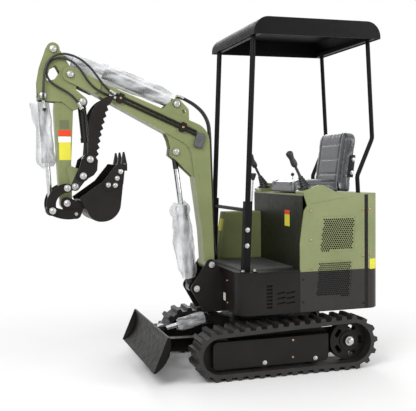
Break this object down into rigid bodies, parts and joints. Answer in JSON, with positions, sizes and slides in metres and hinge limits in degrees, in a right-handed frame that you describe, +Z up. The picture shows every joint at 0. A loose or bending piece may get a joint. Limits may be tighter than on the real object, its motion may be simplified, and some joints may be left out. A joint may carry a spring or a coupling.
{
  "type": "mini excavator",
  "caption": "Compact tracked digger with an open canopy, a folded digging arm with bucket and thumb, and a dozer blade, posed parked.",
  "frame": {"origin": "middle of the whole machine's length and width, on the ground under its tracks", "axes": "+X forward towards the dozer blade and bucket, +Y to the machine's left, +Z up"},
  "size_m": [2.1252, 0.97, 2.2052],
  "materials": {
    "track_rubber": "matte black rubber",
    "dark_steel": "satin black paint",
    "olive_paint": "gloss olive green paint, black below the deck line",
    "black_barrel": "gloss black paint",
    "chrome_rod": "polished chrome",
    "zinc_pin": "zinc plated",
    "hose_rubber": "smooth black hose",
    "mat_rubber": "ribbed black rubber",
    "lever_plastic": "matte black plastic",
    "seat_vinyl": "black vinyl"
  },
  "bodies": {
    "undercarriage": {"track_left": "track_rubber", "track_right": "track_rubber", "track_frame_left": "dark_steel", "track_frame_right": "dark_steel", "idlers": "dark_steel", "sprockets": "dark_steel", "track_rollers": "dark_steel", "travel_motors": "dark_steel", "car_body": "dark_steel", "slew_ring": "dark_steel"},
    "blade": {"dozer_blade": "dark_steel"},
    "blade_barrel": {"blade_cylinder_barrel": "black_barrel"},
    "blade_rod": {"blade_cylinder_rod": "chrome_rod"},
    "house": {"house_deck": "dark_steel", "boom_bracket": "dark_steel", "house_pins": "zinc_pin", "front_skirt": "dark_steel", "side_skirt_left": "dark_steel", "side_skirt_right": "dark_steel", "floor_plate": "dark_steel", "floor_mat": "mat_rubber", "side_panel_left": "olive_paint", "side_panel_right": "olive_paint", "side_grilles": "olive_paint", "rear_panel": "olive_paint", "cover_straps": "dark_steel", "hood_top": "olive_paint", "seat_box": "olive_paint", "tank_housing": "olive_paint", "consoles": "olive_paint", "joysticks": "lever_plastic", "travel_levers": "lever_plastic", "blade_lever": "lever_plastic", "seat_cushion": "seat_vinyl", "seat_back": "seat_vinyl", "engine_block": "dark_steel", "canopy_roof": "dark_steel", "canopy_front_frame": "dark_steel", "canopy_rear_frame": "dark_steel"},
    "boom": {"boom": "olive_paint", "boom_pins": "zinc_pin", "boom_pipes": "dark_steel", "boom_hoses": "hose_rubber"},
    "boom_barrel": {"boom_cylinder_barrel": "black_barrel"},
    "boom_rod": {"boom_cylinder_rod": "chrome_rod"},
    "stick": {"stick": "olive_paint", "stick_pins": "zinc_pin", "thumb_bracket": "dark_steel", "stick_hoses": "hose_rubber"},
    "stick_barrel": {"stick_cylinder_barrel": "black_barrel"},
    "stick_rod": {"stick_cylinder_rod": "chrome_rod"},
    "bucket": {"bucket": "dark_steel"},
    "side_link": {"side_links": "dark_steel"},
    "bucket_link": {"bucket_link": "dark_steel"},
    "bucket_barrel": {"bucket_cylinder_barrel": "black_barrel"},
    "bucket_rod": {"bucket_cylinder_rod": "chrome_rod"},
    "thumb": {"thumb": "dark_steel"},
    "thumb_barrel": {"thumb_cylinder_barrel": "black_barrel"},
    "thumb_rod": {"thumb_cylinder_rod": "chrome_rod"}
  },
  "joints": [
    {"name": "house_slew", "type": "hinge", "parent": "undercarriage", "child": "house", "pos_m": [-0.39, 0, 0.372], "axis": [0, 0, 1], "continuous": true},
    {"name": "blade_lift", "type": "hinge", "parent": "undercarriage", "child": "blade", "pos_m": [-0.06, 0, 0.19], "axis": [0, -1, 0], "range_deg": [-25, 9]},
    {"name": "boom_lift", "type": "hinge", "parent": "house", "child": "boom", "pos_m": [-0.015, 0, 0.664], "axis": [0, -1, 0], "range_deg": [-73, 8]},
    {"name": "stick_swing", "type": "hinge", "parent": "boom", "child": "stick", "pos_m": [0.863, 0, 1.867], "axis": [0, 1, 0], "range_deg": [-93, 14], "deforming": ["stick_hoses"]},
    {"name": "bucket_curl", "type": "hinge", "parent": "stick", "child": "bucket", "pos_m": [0.896, 0, 1.081], "axis": [0, 1, 0], "range_deg": [-150, 12]},
    {"name": "thumb_swing", "type": "hinge", "parent": "stick", "child": "thumb", "pos_m": [0.801, 0, 1.247], "axis": [0, 1, 0], "range_deg": [-44, 0]},
    {"name": "blade_barrel_swing", "type": "hinge", "parent": "undercarriage", "child": "blade_barrel", "pos_m": [-0.038, 0, 0.312], "axis": [0, 1, 0], "range_deg": [-9.33, 24.15]},
    {"name": "blade_rod_slide", "type": "slide", "parent": "blade_barrel", "child": "blade_rod", "axis": [0.9798, 0, -0.2], "range_m": [-0.02083, 0.05432]},
    {"name": "boom_barrel_swing", "type": "hinge", "parent": "house", "child": "boom_barrel", "pos_m": [0.088, 0, 0.514], "axis": [0, 1, 0], "range_deg": [-8.59, 70.28]},
    {"name": "boom_rod_slide", "type": "slide", "parent": "boom_barrel", "child": "boom_rod", "axis": [0.1274, 0, 0.9919], "range_m": [-0.21254, 0.02507]},
    {"name": "stick_barrel_swing", "type": "hinge", "parent": "boom", "child": "stick_barrel", "pos_m": [0.192, 0, 1.699], "axis": [0, 1, 0], "range_deg": [-5.07, 1.61]},
    {"name": "stick_rod_slide", "type": "slide", "parent": "stick_barrel", "child": "stick_rod", "axis": [0.9237, 0, 0.3832], "range_m": [-0.25848, 0.04061]},
    {"name": "thumb_barrel_swing", "type": "hinge", "parent": "stick", "child": "thumb_barrel", "pos_m": [0.789, 0, 1.703], "axis": [0, 1, 0], "range_deg": [-1, 8.09]},
    {"name": "thumb_rod_slide", "type": "slide", "parent": "thumb_barrel", "child": "thumb_rod", "axis": [-0.0898, 0, -0.996], "range_m": [-0.002, 0.0691]},
    {"name": "side_link_swing", "type": "hinge", "parent": "stick", "child": "side_link", "pos_m": [0.896, 0, 1.174], "axis": [0, 1, 0], "range_deg": [-81.78, 7.46]},
    {"name": "bucket_link_swing", "type": "hinge", "parent": "side_link", "child": "bucket_link", "pos_m": [0.987, 0, 1.038], "axis": [0, 1, 0], "range_deg": [-3.24, 28.98]},
    {"name": "bucket_barrel_swing", "type": "hinge", "parent": "stick", "child": "bucket_barrel", "pos_m": [1.027, 0, 1.736], "axis": [0, 1, 0], "range_deg": [-6.35, 1.43]},
    {"name": "bucket_rod_slide", "type": "slide", "parent": "bucket_barrel", "child": "bucket_rod", "axis": [-0.0572, 0, -0.9984], "range_m": [-0.20685, 0.01839]}
  ],
  "couplings": [
    {"joint": "blade_barrel_swing", "follows": "blade_lift", "ratio": -0.92606},
    {"joint": "blade_rod_slide", "follows": "blade_lift", "m_per_rad": -0.1199},
    {"joint": "boom_barrel_swing", "follows": "boom_lift", "ratio": -0.94902},
    {"joint": "boom_rod_slide", "follows": "boom_lift", "m_per_rad": 0.16524},
    {"joint": "stick_barrel_swing", "follows": "stick_swing", "ratio": 0.043795},
    {"joint": "stick_rod_slide", "follows": "stick_swing", "m_per_rad": 0.15801},
    {"joint": "thumb_barrel_swing", "follows": "thumb_swing", "ratio": -0.16117},
    {"joint": "thumb_rod_slide", "follows": "thumb_swing", "m_per_rad": -0.087381},
    {"joint": "side_link_swing", "follows": "bucket_curl", "ratio": 0.53851},
    {"joint": "bucket_link_swing", "follows": "bucket_curl", "ratio": -0.18655},
    {"joint": "bucket_barrel_swing", "follows": "bucket_curl", "ratio": 0.035645},
    {"joint": "bucket_rod_slide", "follows": "bucket_curl", "m_per_rad": 0.078246}
  ]
}
